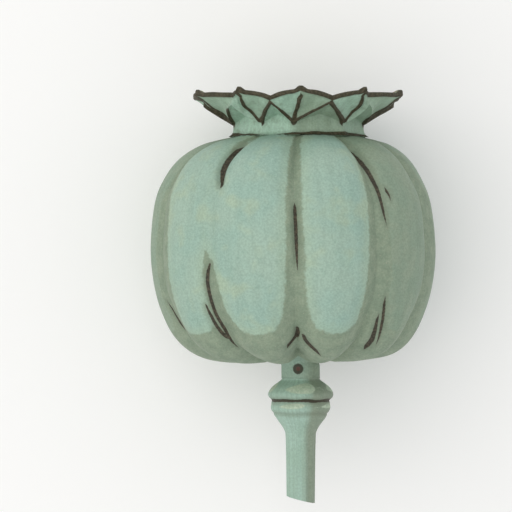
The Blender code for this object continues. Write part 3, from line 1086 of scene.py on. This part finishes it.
def new_material(name, roughness):
    """Start a material with a principled shader."""
    material = bpy.data.materials.new(name)
    material.use_nodes = True
    shader = material.node_tree.nodes["Principled BSDF"]
    shader.inputs["Roughness"].default_value = roughness
    shader.inputs["IOR"].default_value = REFRACTION
    return material, shader


def streaks(tree, stretch):
    """Give a place in which every pattern is drawn out from pole to pole."""
    place = add(tree, "Attribute", "Vector", {}, attribute_name="streak")
    size = (POD_RADIUS, POD_RADIUS, POD_RADIUS / stretch)
    return add(tree, "Mapping", "Vector", {"Vector": place, "Scale": size})


def blended(tree, first, second, value, start, end, most=1.0):
    """Let one colour give way to another, at most this far, as a value goes from start to end."""
    share = add(tree, "MapRange", "Result",
                {"Value": value, "From Min": start, "From Max": end, "To Max": most},
                interpolation_type="SMOOTHSTEP")
    return add(tree, "Mix", 2, {0: share, 6: first, 7: second}, data_type="RGBA")


def patches(tree, where, size, first, second, detail=2.0, edges=(0.35, 0.65), most=1.0):
    """Let one colour give way to another in soft patches of about this size."""
    cloud = add(tree, "TexNoise", "Fac",
                {"Vector": where, "Scale": 1 / size, "Detail": detail, "Roughness": CLOUD_ROUGHNESS})
    return blended(tree, first, second, cloud, *edges, most)


def grained(tree, skin, where, size, darkest, lightest):
    """Make a colour darker and lighter in a grain of about this size."""
    cloud = add(tree, "TexNoise", "Fac",
                {"Vector": where, "Scale": 1 / size, "Detail": 3.0, "Roughness": CLOUD_ROUGHNESS})
    strength = add(tree, "MapRange", "Result",
                   {"Value": cloud, "From Min": 0.3, "From Max": 0.7,
                    "To Min": darkest, "To Max": lightest},
                   interpolation_type="SMOOTHSTEP")
    return add(tree, "HueSaturation", "Color", {"Value": strength, "Color": skin})


def laid_on(tree, skin, colour, inside, where, fray, fray_size, softness):
    """Lay a colour on the skin inside an edge, frayed and softened. All but the size are in mm."""
    tooth = add(tree, "TexNoise", "Fac",
                {"Vector": where, "Scale": 1 / fray_size, "Detail": 3.0, "Roughness": CLOUD_ROUGHNESS})
    frayed = add(tree, "Math", 0, {0: tooth, 1: fray, 2: inside}, operation="MULTIPLY_ADD")
    return blended(tree, skin, colour, frayed, fray / 2 - softness, fray / 2 + softness)


def tinted_towards(tree, skin, colour, inside, reach, most):
    """Tint the skin more and more towards an edge that lies up to this far away, in mm."""
    return blended(tree, skin, colour, inside, -reach, 0.0, most)


def fine_relief(tree, shader, layers):
    """Give the shader relief too fine to model: each layer has a place, a size and a depth."""
    normal = None
    for where, size, depth in layers:
        cloud = add(tree, "TexNoise", "Fac",
                    {"Vector": where, "Scale": 1 / size, "Detail": 3.0, "Roughness": CLOUD_ROUGHNESS})
        inputs = {"Height": cloud, "Distance": depth, "Strength": 1.0}
        if normal:
            inputs["Normal"] = normal
        normal = add(tree, "Bump", "Normal", inputs)
    tree.links.new(normal, shader.inputs["Normal"])


def creased(tree):
    """Give how far inside a crease a place lies, in millimetres, from the marks of all three."""
    aside = add(tree, "Attribute", "Vector", {}, attribute_name="crease_aside")
    halves = add(tree, "Attribute", "Vector", {}, attribute_name="crease_half")
    apart = add(tree, "VectorMath", 0, {0: aside}, operation="ABSOLUTE")
    within = add(tree, "VectorMath", 0, {0: halves, 1: apart}, operation="SUBTRACT")
    parts = add(tree, "SeparateXYZ", "X", {0: within}).node.outputs
    inner = add(tree, "Math", 0, {0: parts["X"], 1: parts["Y"]}, operation="MAXIMUM")
    return add(tree, "Math", 0, {0: inner, 1: parts["Z"]}, operation="MAXIMUM")


def scar_place():
    """Give the middle of the scar on the stipe, once the head lies on its surface."""
    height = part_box("capsule")[1].z / 2
    return (
        STIPE_RADIUS * math.sin(SCAR_ANGLE) + pod_shift(SCAR_STATION),
        POD_Y + SCAR_STATION,
        height + STIPE_RADIUS * math.cos(SCAR_ANGLE),
    )


def pod_skin():
    """Poppy capsule skin, grown, under a wax bloom.

    The bloom makes the lobes a dull blue-green. Grey-olive painted shade is laid in the grooves and
    along the base, and on the lobes at the right and far left painted shade is mixed with bare skin;
    the creases have dried dark brown.
    """
    material, shader = new_material("poppy_capsule_skin_grown_under_wax", 0.64)
    tree = material.node_tree
    where = add(tree, "TexCoord", "Object", {})
    along = streaks(tree, 9.0)
    bloom = patches(tree, where, 7 * MM, linear("9BB4A3"), linear("94B1A2"))
    bloom = patches(tree, where, 4.5 * MM, bloom, linear("A4B69B"), edges=(0.5, 0.72), most=0.6)
    bloom = patches(tree, where, 1.3 * MM, bloom, linear("83A190"), detail=4.0,
                    edges=(0.56, 0.7), most=0.3)

    band, bare_and_shaded = (
        add(tree, "Attribute", "Fac", {}, attribute_name=mark) for mark in ("band", "bare_and_shaded")
    )
    bloom = tinted_towards(tree, bloom, linear("A3B597"), band, 2.2, 0.3)
    # Bare skin, which on the lobes at the right and far left and on the stipe's right side is painted
    # shade.
    bare_and_shaded_skin = patches(tree, where, 3.5 * MM, linear("829580"), linear("8A9983"), detail=3.0)
    skin = add(tree, "Mix", 2, {0: bare_and_shaded, 6: bloom, 7: bare_and_shaded_skin}, data_type="RGBA")
    # Grey-olive painted shade, laid in the groove bands and the zone along the base.
    olive = patches(tree, where, 1.8 * MM, linear("7E8F79"), linear("899881"), detail=3.0)
    olive = patches(tree, where, 0.3 * MM, olive, linear("A3A48F"), edges=(0.6, 0.75), most=0.5)
    skin = laid_on(tree, skin, olive, band, where, 1.1, 0.9 * MM, 0.26)
    skin = grained(tree, skin, along, 1.1 * MM, 0.965, 1.035)
    skin = grained(tree, skin, where, SKIN_GRAIN, 0.9, 1.09)

    inside = creased(tree)
    # Painted shade darkens the skin towards each crease.
    skin = tinted_towards(tree, skin, linear("6D7A66"), inside, 0.9, 0.4)
    dried = patches(tree, where, 0.4 * MM, linear("322F22"), linear("4C4534"), edges=(0.4, 0.65))
    skin = laid_on(tree, skin, dried, inside, where, 0.16, 0.35 * MM, 0.06)

    from_scar = add(tree, "VectorMath", "Value", {0: where, 1: scar_place()}, operation="DISTANCE")
    for edge, colour in ((SCAR_RIM, "3F4133"), (SCAR_HEART, "5E4237")):
        within = add(tree, "Math", 0, {0: from_scar, 1: -1 / MM, 2: edge / MM},
                     operation="MULTIPLY_ADD")
        skin = laid_on(tree, skin, linear(colour), within, where, 0.2, 0.4 * MM, 0.1)
    tree.links.new(skin, shader.inputs["Base Color"])

    wear = add(tree, "TexNoise", "Fac", {"Vector": where, "Scale": 1 / (2.5 * MM)})
    dull = add(tree, "MapRange", "Result",
               {"Value": wear, "From Min": 0.3, "From Max": 0.7, "To Min": 0.57, "To Max": 0.74})
    tree.links.new(dull, shader.inputs["Roughness"])
    fine_relief(tree, shader, ((along, 0.7 * MM, 0.05 * MM), (where, 0.28 * MM, 0.035 * MM)))
    return material


def crown_skin():
    """Poppy stigma disc, grown and half dried.

    The facets are thin grey-green skin between ribs and margins that have dried dark brown, and
    inside the cup the rays carry a brown velvet.
    """
    material, shader = new_material("poppy_stigma_disc_grown_half_dried", 0.68)
    tree = material.node_tree
    where = add(tree, "TexCoord", "Object", {})
    along = streaks(tree, 6.0)
    facet = patches(tree, where, 2.4 * MM, linear("A9C7B3"), linear("A0BEAA"))
    facet = patches(tree, where, 1.2 * MM, facet, linear("8A9E88"), detail=3.0,
                    edges=(0.52, 0.7), most=0.5)
    # The worn colour is wear, and painted shade on the front rays' right facets and windows.
    worn_and_shaded = patches(tree, where, 1.6 * MM, linear("95AA94"), linear("90A48C"))
    ink, velvet, in_cup, dull = (
        add(tree, "Attribute", "Fac", {}, attribute_name=mark)
        for mark in ("ink", "velvet", "cup", "dull")
    )
    facet = add(tree, "Mix", 2, {0: dull, 6: facet, 7: worn_and_shaded}, data_type="RGBA")
    cup = patches(tree, where, 1.6 * MM, linear("93A388"), linear("879A82"), detail=3.0)
    skin = add(tree, "Mix", 2, {0: in_cup, 6: facet, 7: cup}, data_type="RGBA")
    skin = grained(tree, skin, along, 0.8 * MM, 0.94, 1.06)
    skin = grained(tree, skin, where, SKIN_GRAIN, 0.9, 1.09)

    nap = patches(tree, where, 0.5 * MM, linear("6A5A3E"), linear("8A7A56"), detail=3.0)
    skin = laid_on(tree, skin, nap, velvet, where, 0.4, 0.6 * MM, 0.12)
    skin = tinted_towards(tree, skin, linear("6A7563"), ink, 0.6, 0.25)
    dried = patches(tree, where, 0.4 * MM, linear("35321F"), linear("4E4735"), edges=(0.4, 0.65))
    skin = laid_on(tree, skin, dried, ink, where, 0.14, 0.4 * MM, 0.06)
    tree.links.new(skin, shader.inputs["Base Color"])
    fine_relief(tree, shader, ((along, 0.6 * MM, 0.05 * MM), (where, 0.25 * MM, 0.04 * MM)))
    return material


def stem_skin():
    """Poppy stalk, grown, cut with a knife.

    Its skin is pale and waxy, with grey-olive painted shade down the side away from the lamp. Pale
    patches on the knuckle are painted highlights, and the cut shows pale pith inside a green ring.
    """
    material, shader = new_material("poppy_stalk_grown_and_cut", 0.6)
    tree = material.node_tree
    where = add(tree, "TexCoord", "Object", {})
    along = streaks(tree, 12.0)
    bloom = patches(tree, where, 4 * MM, linear("9FBBAB"), linear("99B5A3"))
    bloom = patches(tree, along, 2.0 * MM, bloom, linear("90A896"), edges=(0.45, 0.62), most=0.5)
    ink, bare_and_shaded, painted_highlight, cut = (
        add(tree, "Attribute", "Fac", {}, attribute_name=mark)
        for mark in ("ink", "bare_and_shaded", "painted_highlight", "cut")
    )
    # Grey-olive painted shade down the stalk's side away from the lamp.
    olive = patches(tree, where, 1.6 * MM, linear("84937F"), linear("8B9985"), detail=3.0)
    skin = laid_on(tree, bloom, olive, bare_and_shaded, along, 1.2, 0.9 * MM, 0.75)
    # Pale painted highlights on the knuckle's rings.
    pale = patches(tree, where, 0.5 * MM, linear("B7C6AF"), linear("A9BCA4"), edges=(0.4, 0.6))
    skin = laid_on(tree, skin, pale, painted_highlight, where, 0.3, 0.5 * MM, 0.1)
    skin = grained(tree, skin, where, SKIN_GRAIN, 0.91, 1.08)

    # Painted shade darkens the skin towards the ring creases, the lower one as well.
    skin = tinted_towards(tree, skin, linear("67705B"), ink, 0.8, 0.45)
    skin = laid_on(tree, skin, linear("3B3828"), ink, where, 0.22, 0.5 * MM, 0.07)

    wall = patches(tree, where, 0.45 * MM, linear("8FA383"), linear("A9B592"), edges=(0.45, 0.6))
    pith = patches(tree, where, 0.35 * MM, linear("D2D3B8"), linear("B9BE9E"), detail=3.0,
                   edges=(0.4, 0.6))
    face = skin
    # The mark is -1 on the skin, 0 in the middle of the cut and 1 at its rim.
    zones = (
        (-0.6, -0.4, pith),
        (PITH_SHARE - PITH_BLEND, PITH_SHARE + PITH_BLEND, wall),
        (0.92, 0.98, linear("6B7A5C")),
    )
    for least, most, colour in zones:
        share = add(tree, "MapRange", "Result",
                    {"Value": cut, "From Min": least, "From Max": most})
        face = add(tree, "Mix", 2, {0: share, 6: face, 7: colour}, data_type="RGBA")
    tree.links.new(face, shader.inputs["Base Color"])
    fine_relief(tree, shader, ((along, 0.8 * MM, 0.05 * MM), (where, 0.25 * MM, 0.03 * MM)))
    return material


def floor_paper():
    """White matt paper, rolled smooth."""
    material, shader = new_material("white_matt_paper_rolled", 0.9)
    shader.inputs["Base Color"].default_value = linear(FLOOR_WHITE)
    shader.inputs["Specular IOR Level"].default_value = FLOOR_SHEEN
    return material


def add_floor():
    """Lay a plain pale floor."""
    shape = bmesh.new()
    bmesh.ops.create_grid(shape, x_segments=1, y_segments=1, size=FLOOR_SIZE / 2)
    floor = add_object("floor", shape)
    floor.data.materials.append(floor_paper())


def add_light():
    """Make the pale room and the soft lamp at the upper left."""
    world = bpy.data.worlds.new("pale_room")
    world.use_nodes = True
    background = world.node_tree.nodes["Background"]
    background.inputs["Color"].default_value = linear(ROOM_WHITE)
    background.inputs["Strength"].default_value = ROOM_STRENGTH
    bpy.context.scene.world = world
    lamp = bpy.data.lights.new("soft_lamp", "AREA")
    lamp.shape = "DISK"
    lamp.size = KEY_SIZE
    lamp.energy = KEY_POWER
    lamp.color = linear(KEY_WHITE)[:3]
    holder = bpy.data.objects.new("soft_lamp", lamp)
    direction = Vector(KEY_DIRECTION).normalized()
    holder.location = direction * KEY_DISTANCE
    holder.rotation_euler = direction.to_track_quat("Z", "Y").to_euler()
    bpy.context.scene.collection.objects.link(holder)


def add_camera():
    """Hang the camera over the head, looking straight down."""
    data = bpy.data.cameras.new("camera")
    data.lens = CAMERA_LENS
    data.sensor_width = CAMERA_SENSOR
    camera = bpy.data.objects.new("camera", data)
    camera.location = Vector(CAMERA_TARGET) + Vector((0, 0, CAMERA_DISTANCE))
    bpy.context.scene.collection.objects.link(camera)
    bpy.context.scene.camera = camera
    bpy.context.scene.view_settings.view_transform = "Standard"


def dress(piece, node, material):
    """Let a piece stand for its solid."""
    piece.data.materials.append(material)
    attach(piece, "root")
    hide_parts(node)


add_camera()
add_light()
add_floor()

place_pod, pod_count = pod_placer()
pod = spun_piece("pod", pod_count, POD_COLUMNS, place_pod)
place_crown, crown_count = crown_placer()
crown = spun_piece("rayed_crown", crown_count, CROWN_COLUMNS, place_crown)
place_stem, stem_count = stem_placer()
stem = spun_piece("ringed_stalk", stem_count, STEM_COLUMNS, place_stem)
lay_down(pod, (pod, crown, stem))

dress(pod, "capsule", pod_skin())
dress(crown, "crown", crown_skin())
dress(stem, "stem", stem_skin())
